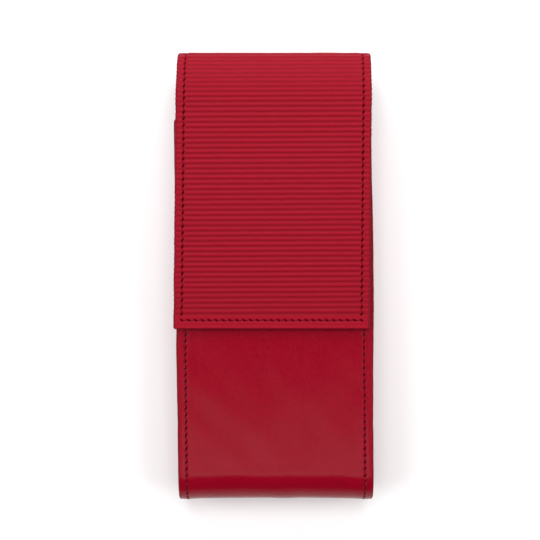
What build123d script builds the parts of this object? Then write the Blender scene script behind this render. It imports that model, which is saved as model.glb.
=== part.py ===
from build123d import *
from math import atan2, degrees, radians, sin, cos
import os

# A flap-over leather case for three pens, lying on its back.
#
# The frame: X across the case, Y from its rounded bottom end to its rolled top, Z from its back to its
# flap. The origin is under the middle of the case, in the plane it lies on. Sizes are in millimetres.
#
# The back, the roll and the flap are one leather, which bends when the flap opens. It is modelled as
# rigid segments that meet at mitres, each pair turning about a line on the leather's outer face.

# Overall size
width = 72.0
length = 168.0
case_height = 23.3  # the pouch, without the flap over it
flap_gap = 0.3  # between the pouch's front and the flap's lining

# Sheet materials
leather = 1.2
gusset_leather = 0.9
divider_leather = 1.2
lining = 0.7
flap_lining_sheet = 0.6
front_board_sheet = 0.8
back_board_sheet = 1.2
flap_board_sheet = 0.8

# Where the pieces end, along Y
top = length / 2
bottom = -length / 2
mouth = 57.8  # top edge of the pouch's front
gusset_back_top = 66.0  # the gussets' top edge slopes up to here at the back
flap_edge = -19.7
flap_board_top = 60.0
flap_board_inset = 1.2  # from the flap's edge
flap_lining_inset = 0.6
flap_board_end = flap_edge + flap_board_inset
flap_lining_end = flap_edge + flap_lining_inset
lap_edge = -64.0  # lower edge of the back leather
lap_end = -56.0  # the front leather ends here, inside the back leather
divider_top = 50.0
front_board_inset = 2.4
back_board_gap = 0.5  # from the gusset's slope over the lap
back_board_inset = 1.0  # from the gussets' top edge
gusset_past_top = 10.0  # the gussets' tray is cut through their open top

# The rolled top: three arcs, tangent to each other, to the back and to the flap
back_radius = 14.0
crown_radius = 8.0
roll_reach = 19.4  # the upper half starts to drop this far from the top
flap_height = case_height + flap_gap + flap_lining_sheet + flap_board_sheet + leather
upper_drop = flap_height - back_radius
shoulder_radius = ((roll_reach - crown_radius) ** 2 + upper_drop**2 - crown_radius**2) / (
    2 * (upper_drop - crown_radius)
)
shoulder_turn = degrees(atan2(roll_reach - crown_radius, shoulder_radius - upper_drop))
crown_turn = 90 - shoulder_turn
back_centre = (top - back_radius, back_radius)
crown_centre = (top - crown_radius, back_radius)
shoulder_centre = (top - roll_reach, flap_height - shoulder_radius)
# First turn angle, last turn angle, centre and radius. The back is at 0 degrees and the flap at 180.
roll_arcs = (
    (0, 90, back_centre, back_radius),
    (90, 90 + crown_turn, crown_centre, crown_radius),
    (90 + crown_turn, 180, shoulder_centre, shoulder_radius),
)
# Turn angles of the four folds. Each is in the middle of the leather that it straightens.
folds = (22.5, 67.5, 90 + crown_turn / 2, 180 - shoulder_turn / 2)
mitre_gap = 0.2  # degrees, on each side of a fold

# The rounded bottom end
end_radius = case_height / 2
end_y = bottom + end_radius
lap_slope_start = -70.0
lap_slope_end = -52.0  # the gusset is back on the back leather here

# Gussets, linings and boards, by their distance from the middle
flange_edge = width / 2
gusset_wall_out = 31.5
gusset_wall_in = gusset_wall_out - gusset_leather
lining_in = gusset_wall_in - lining
board_edge = 29.4
flap_board_edge = 34.2
lining_front = case_height - leather - front_board_sheet
lining_back = leather + back_board_sheet
lining_radius = (lining_front - lining_back) / 2
lining_centre = (end_y, (lining_front + lining_back) / 2)
neck_lining_start = 66.3
divider_in = (lining_in - divider_leather) / 3  # three channels of one width
divider_flange = 4.0
divider_flange_sheet = 0.6

# Closure
disc_radius = 6.0
disc_clearance = 0.1
disc_x = 18.0
disc_inset = 13.0  # from the flap's edge
disc_y = flap_edge + disc_inset

# Seams
seam_inset = 3.0
flap_row_inset = 3.3
stitch_pitch = 2.5
stitch_length = 1.9
stitch_width = 0.5
stitch_height = 0.25
groove_width = 0.8
groove_depth = 0.35
stitch_depth = 0.2  # of the stitch's middle, under the leather's face
corner_radius = 2.0
tolerance = 0.01

sides = ((-1, "left"), (1, "right"))
seam_x = width / 2 - seam_inset


def draw_roll(depth, first, last):
    """The roll's line, at a depth under its outer face, from one turn angle to another."""
    for start, end, centre, radius in roll_arcs:
        low, high = max(start, first), min(end, last)
        if low < high:
            CenterArc(centre, radius - depth, low - 90, high - low)


def roll_point(depth, turn):
    """The point of the roll's line at one turn angle."""
    for start, end, centre, radius in roll_arcs:
        if start <= turn <= end:
            reach = radius - depth
            return (centre[0] + reach * sin(radians(turn)), centre[1] - reach * cos(radians(turn)))


def draw_roll_band(first, last, outer, inner):
    """The closed outline of a sheet in the roll, between two depths and two turn angles."""
    draw_roll(outer, first, last)
    draw_roll(inner, first, last)
    Line(roll_point(outer, first), roll_point(inner, first))
    Line(roll_point(outer, last), roll_point(inner, last))


def draw_back(depth, start):
    """The back leather's line, from its lower edge to the first fold."""
    Line((start, depth), (back_centre[0], depth))
    draw_roll(depth, 0, folds[0] - mitre_gap)


def draw_back_band(start, outer, inner):
    """The closed outline of a sheet in the back, between two depths."""
    draw_back(outer, start)
    draw_back(inner, start)
    Line((start, outer), (start, inner))
    Line(roll_point(outer, folds[0] - mitre_gap), roll_point(inner, folds[0] - mitre_gap))


def draw_flap(depth):
    """The flap's line, from the last fold to its edge."""
    draw_roll(depth, folds[3] + mitre_gap, 180)
    Line((shoulder_centre[0], flap_height - depth), (flap_edge, flap_height - depth))


def draw_flap_band(outer, inner):
    """The closed outline of a sheet in the flap, between two depths."""
    draw_flap(outer)
    draw_flap(inner)
    Line(roll_point(outer, folds[3] + mitre_gap), roll_point(inner, folds[3] + mitre_gap))
    Line((flap_edge, flap_height - outer), (flap_edge, flap_height - inner))


def draw_wrap(depth):
    """The front leather's line: the front, round the bottom end, and the lap inside the back."""
    Line((mouth, case_height - depth), (end_y, case_height - depth))
    CenterArc((end_y, end_radius), end_radius - depth, 90, 180)
    Polyline(
        (end_y, depth),
        (lap_slope_start, depth),
        (lap_edge, leather + depth),
        (lap_end, leather + depth),
    )


def draw_wrap_row(depth):
    """The line of the front leather's side rows, from under its mouth row to its slope on the back."""
    Line((mouth - seam_inset - stitch_pitch, case_height - depth), (end_y, case_height - depth))
    CenterArc((end_y, end_radius), end_radius - depth, 90, 180)
    Line((end_y, depth), (lap_slope_start, depth))


def draw_wrap_band(outer, inner):
    """The closed outline of a sheet in the front leather, between two depths."""
    draw_wrap(outer)
    draw_wrap(inner)
    Line((mouth, case_height - outer), (mouth, case_height - inner))
    Line((lap_end, leather + outer), (lap_end, leather + inner))


def draw_gusset(inset, past_top):
    """A gusset's outline, inside the two covers, or inset from it and carried past its open top."""
    front, back = case_height - leather - inset, leather + inset
    Line((mouth + past_top, front), (end_y, front))
    CenterArc((end_y, end_radius), end_radius - leather - inset, 90, 180)
    Polyline(
        (end_y, back),
        (lap_slope_start, back),
        (lap_edge, leather + back),
        (lap_end, leather + back),
        (lap_slope_end, back),
        (gusset_back_top + past_top, back),
        (mouth + past_top, front),
    )


def draw_pouch(inset, front_top, back_top):
    """The outline of the space inside the covers and boards, closed by a slope across its top."""
    front, back = lining_front - inset, lining_back + inset
    Line((front_top, front), (end_y, front))
    CenterArc(lining_centre, lining_radius - inset, 90, 180)
    Polyline((end_y, back), (back_top, back), (front_top, front))


def stitches_along(path, pitch=stitch_pitch):
    """Places for the stitches of a row that follows a line in a plane across X."""
    count = int(path.length // pitch)
    spare = (path.length - count * pitch) / 2
    for number in range(count):
        share = (spare + (number + 0.5) * pitch) / path.length
        point, way = path @ share, path % share
        yield point, degrees(atan2(way.Z, way.Y))


def side_row(path, x):
    """Locations of the stitches of a side row."""
    return [Location((x, point.Y, point.Z), (tilt, 0, 0)) for point, tilt in stitches_along(path)]


def cross_row(y, z):
    """Locations of the stitches of a row across the case."""
    span = 2 * (seam_x - groove_width)
    count = round(span / stitch_pitch)
    return [
        Location((-span / 2 + (number + 0.5) * span / count, y, z), (0, 0, 90))
        for number in range(count)
    ]


os.makedirs("parts", exist_ok=True)

# Front leather: smooth, one piece from the mouth round the bottom end to the lap on the back
with BuildPart() as front_cover:
    with BuildSketch(Plane.YZ):
        with BuildLine():
            draw_wrap_band(0, leather)
        make_face()
    extrude(amount=width / 2, both=True)
    for side, _ in sides:
        with BuildSketch(Plane.YZ.offset(side * seam_x)):
            with BuildLine():
                draw_wrap_band(0, groove_depth)
            make_face()
        extrude(amount=groove_width / 2, both=True, mode=Mode.SUBTRACT)
    with Locations((0, mouth - seam_inset, case_height)):
        Box(
            2 * seam_x,
            groove_width,
            groove_depth,
            align=(Align.CENTER, Align.CENTER, Align.MAX),
            mode=Mode.SUBTRACT,
        )
front_cover.part.label = "front_cover"
export_step(front_cover.part, "parts/front_cover.step")

# Back leather: ribbed, up to the first fold
with BuildPart() as back_cover:
    with BuildSketch(Plane.YZ):
        with BuildLine():
            draw_back_band(lap_edge, 0, leather)
        make_face()
    extrude(amount=width / 2, both=True)
    for side, _ in sides:
        with BuildSketch(Plane.YZ.offset(side * seam_x)):
            with BuildLine():
                draw_back_band(lap_edge, 0, groove_depth)
            make_face()
        extrude(amount=groove_width / 2, both=True, mode=Mode.SUBTRACT)
    with Locations((0, lap_edge + seam_inset, 0)):
        Box(
            2 * seam_x,
            groove_width,
            groove_depth,
            align=(Align.CENTER, Align.CENTER, Align.MIN),
            mode=Mode.SUBTRACT,
        )
back_cover.part.label = "back_cover"
export_step(back_cover.part, "parts/back_cover.step")

# Roll: three links of the same leather with their linings and the side rows' stitches
for number, name in enumerate(("lower", "middle", "upper")):
    first, last = folds[number] + mitre_gap, folds[number + 1] - mitre_gap

    with BuildPart() as roll_cover:
        with BuildSketch(Plane.YZ):
            with BuildLine():
                draw_roll_band(first, last, 0, leather)
            make_face()
        extrude(amount=width / 2, both=True)
        for side, _ in sides:
            with BuildSketch(Plane.YZ.offset(side * seam_x)):
                with BuildLine():
                    draw_roll_band(first, last, 0, groove_depth)
                make_face()
            extrude(amount=groove_width / 2, both=True, mode=Mode.SUBTRACT)
    roll_cover.part.label = f"{name}_roll_cover"
    export_step(roll_cover.part, f"parts/{name}_roll_cover.step")

    with BuildPart() as roll_lining:
        with BuildSketch(Plane.YZ):
            with BuildLine():
                draw_roll_band(first, last, leather, leather + flap_lining_sheet)
            make_face()
        extrude(amount=width / 2, both=True)
    roll_lining.part.label = f"{name}_roll_lining"
    export_step(roll_lining.part, f"parts/{name}_roll_lining.step")

    with BuildLine(Plane.YZ) as roll_row:
        draw_roll(stitch_depth, first, last)
    with BuildPart() as roll_thread:
        for side, _ in sides:
            with Locations(*side_row(roll_row.wire(), side * seam_x)):
                Box(stitch_width, stitch_length, stitch_height)
    roll_thread.part.label = f"{name}_roll_thread"
    export_step(roll_thread.part, f"parts/{name}_roll_thread.step")

# Flap: leather over a board, with a lining
with BuildPart() as flap_cover:
    with BuildSketch(Plane.YZ):
        with BuildLine():
            draw_flap_band(0, leather)
        make_face()
    extrude(amount=width / 2, both=True)
    for side, _ in sides:
        with BuildSketch(Plane.YZ.offset(side * seam_x)):
            with BuildLine():
                draw_flap_band(0, groove_depth)
            make_face()
        extrude(amount=groove_width / 2, both=True, mode=Mode.SUBTRACT)
    with Locations((0, flap_edge + flap_row_inset, flap_height)):
        Box(
            2 * seam_x,
            groove_width,
            groove_depth,
            align=(Align.CENTER, Align.CENTER, Align.MAX),
            mode=Mode.SUBTRACT,
        )
    flap_corners = flap_cover.edges().filter_by(Axis.Z).filter_by(
        lambda edge: edge.length > leather - tolerance and abs(edge.center().X) > seam_x + seam_inset / 2
    )
    fillet(flap_corners, corner_radius)
flap_cover.part.label = "flap_cover"
export_step(flap_cover.part, "parts/flap_cover.step")

with BuildPart() as flap_board:
    with BuildSketch(Plane.XY.offset(flap_height - leather - flap_board_sheet)):
        with Locations((0, flap_board_end)):
            Rectangle(
                2 * flap_board_edge, flap_board_top - flap_board_end, align=(Align.CENTER, Align.MIN)
            )
        with Locations((-disc_x, disc_y), (disc_x, disc_y)):
            Circle(disc_radius + disc_clearance, mode=Mode.SUBTRACT)
    extrude(amount=flap_board_sheet)
flap_board.part.label = "flap_board"
export_step(flap_board.part, "parts/flap_board.step")

with BuildPart() as flap_lining:
    with BuildSketch(Plane.YZ):
        with BuildLine():
            draw_roll_band(folds[3] + mitre_gap, 180, leather, leather + flap_lining_sheet)
        make_face()
        with BuildLine():
            under_cover = flap_height - leather
            over_pouch = case_height + flap_gap
            Polyline(
                (shoulder_centre[0], under_cover),
                (shoulder_centre[0], under_cover - flap_lining_sheet),
                (flap_board_top + flap_gap, over_pouch),
                (flap_lining_end, over_pouch),
                (flap_lining_end, over_pouch + flap_lining_sheet),
                (flap_board_top + flap_gap, over_pouch + flap_lining_sheet),
                (shoulder_centre[0], under_cover),
            )
        make_face()
    extrude(amount=width / 2, both=True)
flap_lining.part.label = "flap_lining"
export_step(flap_lining.part, "parts/flap_lining.step")

with BuildLine(Plane.YZ) as flap_side_row:
    draw_roll(stitch_depth, folds[3] + mitre_gap, 180)
    Line(
        (shoulder_centre[0], flap_height - stitch_depth),
        (flap_edge + flap_row_inset, flap_height - stitch_depth),
    )
with BuildPart() as flap_thread:
    for side, _ in sides:
        with Locations(*side_row(flap_side_row.wire(), side * seam_x)):
            Box(stitch_width, stitch_length, stitch_height)
    with Locations(*cross_row(flap_edge + flap_row_inset, flap_height - stitch_depth)):
        Box(stitch_width, stitch_length, stitch_height)
flap_thread.part.label = "flap_thread"
export_step(flap_thread.part, "parts/flap_thread.step")

# Closure: magnets in the flap's board, steel discs in the front's board
disc_heights = (
    ("magnet", flap_height - leather - flap_board_sheet, flap_board_sheet),
    ("keeper", lining_front, front_board_sheet),
)
for kind, height, thickness in disc_heights:
    for side, name in sides:
        with BuildPart() as disc:
            with BuildSketch(Plane.XY.offset(height)):
                with Locations((side * disc_x, disc_y)):
                    Circle(disc_radius)
            extrude(amount=thickness)
        disc.part.label = f"{name}_{kind}"
        export_step(disc.part, f"parts/{name}_{kind}.step")

# Boards that stiffen the front and the back
with BuildPart() as front_board:
    with BuildSketch(Plane.XY.offset(lining_front)):
        with Locations((0, end_y + front_board_inset)):
            Rectangle(
                2 * board_edge,
                mouth - 2 * front_board_inset - end_y,
                align=(Align.CENTER, Align.MIN),
            )
        with Locations((-disc_x, disc_y), (disc_x, disc_y)):
            Circle(disc_radius + disc_clearance, mode=Mode.SUBTRACT)
    extrude(amount=front_board_sheet)
front_board.part.label = "front_board"
export_step(front_board.part, "parts/front_board.step")

back_board_start = lap_slope_end + back_board_gap
with BuildPart() as back_board:
    with BuildSketch(Plane.XY.offset(leather)):
        with Locations((0, back_board_start)):
            Rectangle(
                2 * board_edge,
                gusset_back_top - back_board_inset - back_board_start,
                align=(Align.CENTER, Align.MIN),
            )
    extrude(amount=back_board_sheet)
back_board.part.label = "back_board"
export_step(back_board.part, "parts/back_board.step")

# Lining of the pouch, one piece down the front, round the end and up the back
with BuildPart() as pouch_lining:
    with BuildSketch(Plane.YZ):
        with BuildLine():
            for inset in (0, lining):
                Line((mouth, lining_front - inset), (end_y, lining_front - inset))
                CenterArc(lining_centre, lining_radius - inset, 90, 180)
                Line((end_y, lining_back + inset), (gusset_back_top, lining_back + inset))
            Line((mouth, lining_front), (mouth, lining_front - lining))
            Line((gusset_back_top, lining_back), (gusset_back_top, lining_back + lining))
        make_face()
    extrude(amount=lining_in, both=True)
pouch_lining.part.label = "pouch_lining"
export_step(pouch_lining.part, "parts/pouch_lining.step")

# Lining of the back above the pouch, up to the first fold
with BuildPart() as neck_lining:
    with BuildSketch(Plane.YZ):
        with BuildLine():
            draw_back_band(neck_lining_start, leather, leather + flap_lining_sheet)
        make_face()
    extrude(amount=width / 2, both=True)
neck_lining.part.label = "neck_lining"
export_step(neck_lining.part, "parts/neck_lining.step")

# Gussets: a recessed wall with a flange round it, open at the top, and each one's lining
for side, name in sides:
    with BuildPart() as gusset:
        with BuildSketch(Plane.YZ.offset(side * gusset_wall_in)):
            with BuildLine():
                draw_gusset(0, 0)
            make_face()
        extrude(amount=side * (flange_edge - gusset_wall_in))
        with BuildSketch(Plane.YZ.offset(side * gusset_wall_out)):
            with BuildLine():
                draw_gusset(gusset_leather, gusset_past_top)
            make_face()
        extrude(amount=side * (flange_edge - gusset_wall_out), mode=Mode.SUBTRACT)
    gusset.part.label = f"{name}_gusset"
    export_step(gusset.part, f"parts/{name}_gusset.step")

    with BuildPart() as gusset_lining:
        with BuildSketch(Plane.YZ.offset(side * lining_in)):
            with BuildLine():
                draw_pouch(0, mouth, gusset_back_top)
            make_face()
        extrude(amount=side * lining)
    gusset_lining.part.label = f"{name}_gusset_lining"
    export_step(gusset_lining.part, f"parts/{name}_gusset_lining.step")

# Dividers between the three channels, glued by a flange to the front and the back lining
for side, name in sides:
    with BuildPart() as divider:
        with BuildSketch(Plane.YZ.offset(side * divider_in)):
            with BuildLine():
                draw_pouch(lining, divider_top, divider_top)
            make_face()
        extrude(amount=side * divider_leather)
        for start, face in ((lining_back + lining, Align.MIN), (lining_front - lining, Align.MAX)):
            with Locations((side * divider_in, end_y, start)):
                Box(
                    divider_flange,
                    divider_top - end_y,
                    divider_flange_sheet,
                    align=(Align.MIN if side > 0 else Align.MAX, Align.MIN, face),
                )
    divider.part.label = f"{name}_divider"
    export_step(divider.part, f"parts/{name}_divider.step")

# Seam threads on the case
with BuildLine(Plane.YZ) as wrap_row:
    draw_wrap_row(stitch_depth)
with BuildLine(Plane.YZ) as back_row:
    Line((lap_edge + seam_inset + stitch_pitch, stitch_depth), (back_centre[0], stitch_depth))
    draw_roll(stitch_depth, 0, folds[0] - mitre_gap)
for side, name in sides:
    with BuildPart() as seam_thread:
        for row in (wrap_row, back_row):
            with Locations(*side_row(row.wire(), side * seam_x)):
                Box(stitch_width, stitch_length, stitch_height)
    seam_thread.part.label = f"{name}_seam_thread"
    export_step(seam_thread.part, f"parts/{name}_seam_thread.step")

cross_rows = (
    ("lap_thread", lap_edge + seam_inset, stitch_depth),
    ("mouth_thread", mouth - seam_inset, case_height - stitch_depth),
)
for name, y, z in cross_rows:
    with BuildPart() as cross_thread:
        with Locations(*cross_row(y, z)):
            Box(stitch_width, stitch_length, stitch_height)
    cross_thread.part.label = name
    export_step(cross_thread.part, f"parts/{name}.step")
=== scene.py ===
"""Looks of the flap-over leather case for three pens: leather, stitching, linings and studio light.

Shapes are worked out in millimetres along the frame's own axes (X across, Y along, Z up) and are scaled to
metres when a mesh is made. Most pieces are sheets: a run of rings along a line in the Y-Z plane, each ring
going round the sheet's section (outer face, rounded edge, lip, inner face, lip, rounded edge).
"""

import math

import bpy
import numpy as np
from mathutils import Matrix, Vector


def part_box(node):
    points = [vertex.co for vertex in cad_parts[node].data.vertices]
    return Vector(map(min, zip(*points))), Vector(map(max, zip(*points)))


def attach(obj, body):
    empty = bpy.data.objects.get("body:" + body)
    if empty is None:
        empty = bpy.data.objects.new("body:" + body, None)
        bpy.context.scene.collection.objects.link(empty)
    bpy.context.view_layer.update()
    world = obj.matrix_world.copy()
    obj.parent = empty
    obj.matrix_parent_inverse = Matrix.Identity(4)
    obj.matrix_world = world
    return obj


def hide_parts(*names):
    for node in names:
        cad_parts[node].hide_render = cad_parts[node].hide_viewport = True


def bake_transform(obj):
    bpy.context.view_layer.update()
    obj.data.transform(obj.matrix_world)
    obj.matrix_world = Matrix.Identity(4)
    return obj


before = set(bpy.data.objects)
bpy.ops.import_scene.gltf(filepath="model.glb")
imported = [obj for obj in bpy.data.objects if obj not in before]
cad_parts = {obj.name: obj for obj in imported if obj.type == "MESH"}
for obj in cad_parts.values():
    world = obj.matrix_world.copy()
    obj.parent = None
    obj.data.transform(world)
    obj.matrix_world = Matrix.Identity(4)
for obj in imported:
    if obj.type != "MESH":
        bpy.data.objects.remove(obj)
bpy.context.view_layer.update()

MM = 0.001
random = np.random.default_rng(11)


def cad_box(node):
    """Lowest and highest corner of a CAD node, in millimetres."""
    low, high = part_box(node)
    return np.array(low) / MM, np.array(high) / MM


# ---- sizes read from the frame

wrap_low, wrap_high = cad_box("front_cover")
flap_low, flap_high = cad_box("flap_cover")
gusset_low, gusset_high = cad_box("right_gusset")
panel_face = cad_box("right_gusset_lining")[1][0]
pouch_low, pouch_high = cad_box("pouch_lining")
divider_low, divider_high = cad_box("right_divider")
magnet_low, magnet_high = cad_box("right_magnet")
half_width = wrap_high[0]
case_height, flap_height = wrap_high[2], flap_high[2]
mouth, bottom = wrap_high[1], wrap_low[1]
top = cad_box("middle_roll_cover")[1][1]
flap_edge, lap_edge = flap_low[1], cad_box("back_cover")[0][1]
gusset_top = gusset_high[1]

# ---- sizes of the leatherwork

LEATHER = 1.2
GUSSET_LEATHER = 0.9
FLAP_LINING = 0.6
POUCH_LINING = 0.7
FLAP_STACK = 2.6  # leather, board and lining
BACK_RADIUS, CROWN_RADIUS, ROLL_REACH = 14.0, 8.0, 19.4
END_RADIUS = case_height / 2
LAP_BEND = 8.0  # the two gentle bends where the front leather tucks under the back
SKIVE, SKIVED = 5.0, 0.15  # the length over which its end there is thinned, and to what
upper_drop = flap_height - BACK_RADIUS
crown_step = ROLL_REACH - CROWN_RADIUS
SHOULDER_RADIUS = (crown_step**2 + upper_drop**2 - CROWN_RADIUS**2) / (2 * (upper_drop - CROWN_RADIUS))
SHOULDER_TURN = math.degrees(math.atan2(crown_step, SHOULDER_RADIUS - upper_drop))
CROWN_TURN = 90 - SHOULDER_TURN

RIB_PITCH = 1.8915
RIB_DEPTH = 0.28
RIB_TILT = -0.0056  # the leather was cut a little off square
LAST_VALLEY = 5.8  # from the flap's edge
RIB_ONSET = (0.3, 5.0)  # the distances from the lap's edge between which the ribs come in
STITCH_PITCH = 2.465
CROSS_PITCH = 2.56
SEAM_INSET = 3.0
CROSS_INSET = 3.3
SEAM_ZONE = 0.9  # each side of a cross row, where the mesh is fine
HOLE_SLANT = 34.0  # degrees between a stitch hole and its row
HOLE_LONG, HOLE_WIDE, HOLE_DEPTH = 0.66, 0.31, 0.50
GROOVE_WIDE, GROOVE_DEPTH = 0.42, 0.11
PULL_DEPTH, PULL_LONG, PULL_WIDE = 0.08, 0.8, 0.9  # the leather that a stitch pulls down round a hole
THREAD_RADIUS, THREAD_LIFT, THREAD_DIVE = 0.155, 0.03, 0.55
STITCH_REACH = 0.42  # from a hole's middle to where the thread enters it
EDGE_ROUND = 0.62
LIP = 0.6
MOUTH_LIP = 0.9
CREASE_INSET, CREASE_WIDE, CREASE_DEPTH = 1.6, 0.22, 0.10  # a line between the seams and the edges
STRIP_SPARE, WRAP_SPARE = 0.10, 0.17  # each leather's side past the case's nominal side
LEAN, LEAN_START = 0.0095, -30  # the case was sewn up a little out of square
BOW, BOW_RISE, BOW_FALL = 0.35, (-32, -8), (14, 44)  # sideways, and the spans of Y where it comes and goes
WIDER, WIDER_SPAN = 0.33, (-60, -20)  # the pouch's front above its bottom end, and where that comes in
BORDER_START = 1.0  # from a seam to where the border starts to slope down
RIBBED_SLOPE, SMOOTH_SLOPE = 0.16, 0.14  # how far down it slopes on each leather
END_BULGE, END_DIP = 0.70, 0.55  # round the bottom end: how far its sides bulge, and its middle less so
FLAP_SHIFT, FLAP_TURN = -0.19, -1.03
TINY = 0.01

# Spacing of the meshes' points.
SEAM_INNER, SEAM_OUTER, SEAM_STEP = 1.3, 1.1, 0.14  # the fine band each side of a seam, and its step
CROSS_STEP = 0.13
WIDE_STEP, WIDE_PARTS = 0.3, 4  # beside a cross row, wider steps are divided
LINING_STEP = 0.8
FOOT_ROUND = 0.35  # the painted edge's lower corner
SIDE_BAND = 4.0  # the part of a face that takes up a change of width


def rise(low, high, value):
    """0 below low, 1 above high, and a smooth rise between."""
    t = np.clip((np.asarray(value, float) - low) / (high - low), 0, 1)
    return t * t * (3 - 2 * t)


def bell(value, width):
    """1 at zero, falling off smoothly over the width."""
    return np.exp(-((value / width) ** 2))


class Waves:
    """A smooth random surface: sines of random direction, their wavelengths between two limits."""

    def __init__(self, count, along, across, size):
        self.k_s = 2 * np.pi / random.uniform(*along, count) * random.choice([-1, 1], count)
        self.k_x = 2 * np.pi / random.uniform(*across, count) * random.choice([-1, 1], count)
        self.phase = random.uniform(0, 2 * np.pi, count)
        self.size = size * np.sqrt(2 / count)

    def __call__(self, s, x):
        total = 0
        for k_s, k_x, phase in zip(self.k_s, self.k_x, self.phase):
            total = total + np.sin(k_s * s + k_x * x + phase)
        return self.size * total


class Path:
    """A line in the Y-Z plane, made of straight runs (length, 0) and arcs (radius, degrees turned)."""

    def __init__(self, start, heading, runs):
        self.runs, self.starts, self.length = [], [], 0.0
        point, angle = np.array(start, float), math.radians(heading)
        for size, degrees in runs:
            turn = math.radians(degrees)
            span = size * abs(turn) if turn else size
            self.runs.append((point, angle, size, turn))
            self.starts.append(self.length)
            ends, angles = self.along(point, angle, size, turn, np.array([span]))
            point, angle = ends[0], float(angles[0])
            self.length += span

    @staticmethod
    def along(point, angle, size, turn, share):
        """Points and headings at distances along one run."""
        if not turn:
            way = np.array([math.cos(angle), math.sin(angle)])
            return point + share[:, None] * way, np.full(len(share), angle)
        side = math.copysign(1, turn)
        centre = point + side * size * np.array([-math.sin(angle), math.cos(angle)])
        now = angle + side * share / size
        return centre + side * size * np.stack([np.sin(now), -np.cos(now)], -1), now

    def at(self, s):
        """Points (y, z) and headings at the distances s."""
        points, angles = np.zeros((len(s), 2)), np.zeros(len(s))
        which = np.clip(np.searchsorted(self.starts, s, "right") - 1, 0, len(self.runs) - 1)
        for number, run in enumerate(self.runs):
            here = which == number
            if here.any():
                points[here], angles[here] = self.along(*run, s[here] - self.starts[number])
        return points, angles

    def y(self, s):
        """The y of the points at the distances s."""
        return self.at(s)[0][:, 0]

    def place(self, s, x, height):
        """Points in space of places (s, x) on the sheet's outer face, raised by a height."""
        shape = np.broadcast(s, x, height).shape
        s, x, height = (np.broadcast_to(value, shape).ravel() for value in (s, x, height))
        points, angles = self.at(s)
        y = points[:, 0] + height * np.sin(angles)
        z = points[:, 1] - height * np.cos(angles)
        return np.stack([x, y, z], -1)

    def point(self, s):
        """One point of the line, in metres."""
        y, z = self.at(np.array([s]))[0][0]
        return (0.0, y * MM, z * MM)


# The ribbed leather runs from the lap up the back, over the roll and down the flap.
strip = Path(
    (lap_edge, 0),
    0,
    [
        (top - BACK_RADIUS - lap_edge, 0),
        (BACK_RADIUS, 90),
        (CROWN_RADIUS, CROWN_TURN),
        (SHOULDER_RADIUS, SHOULDER_TURN),
        (top - ROLL_REACH - flap_edge, 0),
    ],
)
_, roll_start, roll_top, roll_shoulder, flap_start = strip.starts
roll_middle = (roll_start + roll_top) / 2
strip_end = strip.length

# The smooth leather runs from the pouch's mouth down the front, round the end and under the back.
lap_turn = math.degrees(math.acos(1 - LEATHER / (2 * LAP_BEND)))
wrap = Path(
    (mouth, case_height),
    180,
    [
        (mouth - bottom - END_RADIUS, 0),
        (END_RADIUS, 180),
        (2.35, 0),
        (LAP_BEND, lap_turn),
        (LAP_BEND, -lap_turn),
        (7.5, 0),
    ],
)
_, wrap_end_start, wrap_back_start, wrap_slope_start, _, _ = wrap.starts
lap_end = wrap.y(np.array([wrap.length]))[0]

# ---- making meshes


def put(name, points, faces, finishes, finish_of=None, marks=None, smooth_angle=50):
    """A closed mesh piece from points in millimetres and faces of any size, turned outward."""
    sizes = np.array([len(face) for face in faces])
    loops = np.concatenate([np.asarray(face) for face in faces])
    starts = np.concatenate([[0], np.cumsum(sizes)[:-1]])
    ends = starts + sizes - 1
    first = np.repeat(loops[starts], sizes)
    following = np.roll(loops, -1)
    following[ends] = loops[starts]
    volume = np.einsum("ij,ij->i", points[first], np.cross(points[loops], points[following])).sum()
    if volume < 0:
        loops = loops[np.repeat(starts + ends, sizes) - np.arange(len(loops))]
    mesh = bpy.data.meshes.new(name)
    mesh.vertices.add(len(points))
    mesh.vertices.foreach_set("co", (points * MM).astype(np.float32).ravel())
    mesh.loops.add(len(loops))
    mesh.loops.foreach_set("vertex_index", loops.astype(np.int32))
    mesh.polygons.add(len(sizes))
    mesh.polygons.foreach_set("loop_start", starts.astype(np.int32))
    for finish in finishes:
        mesh.materials.append(finish)
    if finish_of is not None:
        mesh.polygons.foreach_set("material_index", finish_of.astype(np.int32))
    mesh.update(calc_edges=True)
    mesh.validate()
    mesh.polygons.foreach_set("use_smooth", np.ones(len(mesh.polygons), bool))
    mesh.set_sharp_from_angle(angle=math.radians(smooth_angle))
    for mark, values in (marks or {}).items():
        attribute = mesh.attributes.new(mark, "FLOAT", "POINT")
        attribute.data.foreach_set("value", values.astype(np.float32))
    piece = bpy.data.objects.new(name, mesh)
    bpy.context.scene.collection.objects.link(piece)
    return piece


def columns(reach, coarse):
    """Places across a face, close together near its two seams and its edges."""
    low, high = seam - SEAM_INNER, seam + SEAM_OUTER
    middle = np.linspace(0, low, max(2, round(low / coarse) + 1))
    near = np.linspace(low, high, round((high - low) / SEAM_STEP) + 1)
    rim = np.linspace(high, reach, 5)
    half = np.unique(np.round(np.concatenate([middle, near, rim]), 6))
    return np.concatenate([-half[:0:-1], half])


def refined(places):
    """The places with each wide interval divided, and which of them were there before."""
    out, kept = [places[0]], [True]
    for a, b in zip(places[:-1], places[1:]):
        count = WIDE_PARTS if b - a > WIDE_STEP else 1
        out += list(np.linspace(a, b, count + 1)[1:])
        kept += [False] * (count - 1) + [True]
    return np.array(out), np.array(kept)


def stations(first, last, step, closer=()):
    """Distances along a path, with a finer step inside each (low, high, step) of closer."""
    out, s = [first], first
    while s < last - 1e-9:
        now = min([step] + [fine for low, high, fine in closer if low <= s + 1e-9 < high])
        s = min([s + now, last] + [low for low, high, _ in closer if s + 1e-9 < low < s + now])
        out.append(s)
    if len(out) > 2 and out[-1] - out[-2] < 0.02:
        del out[-2]
    return np.array(out)


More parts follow.
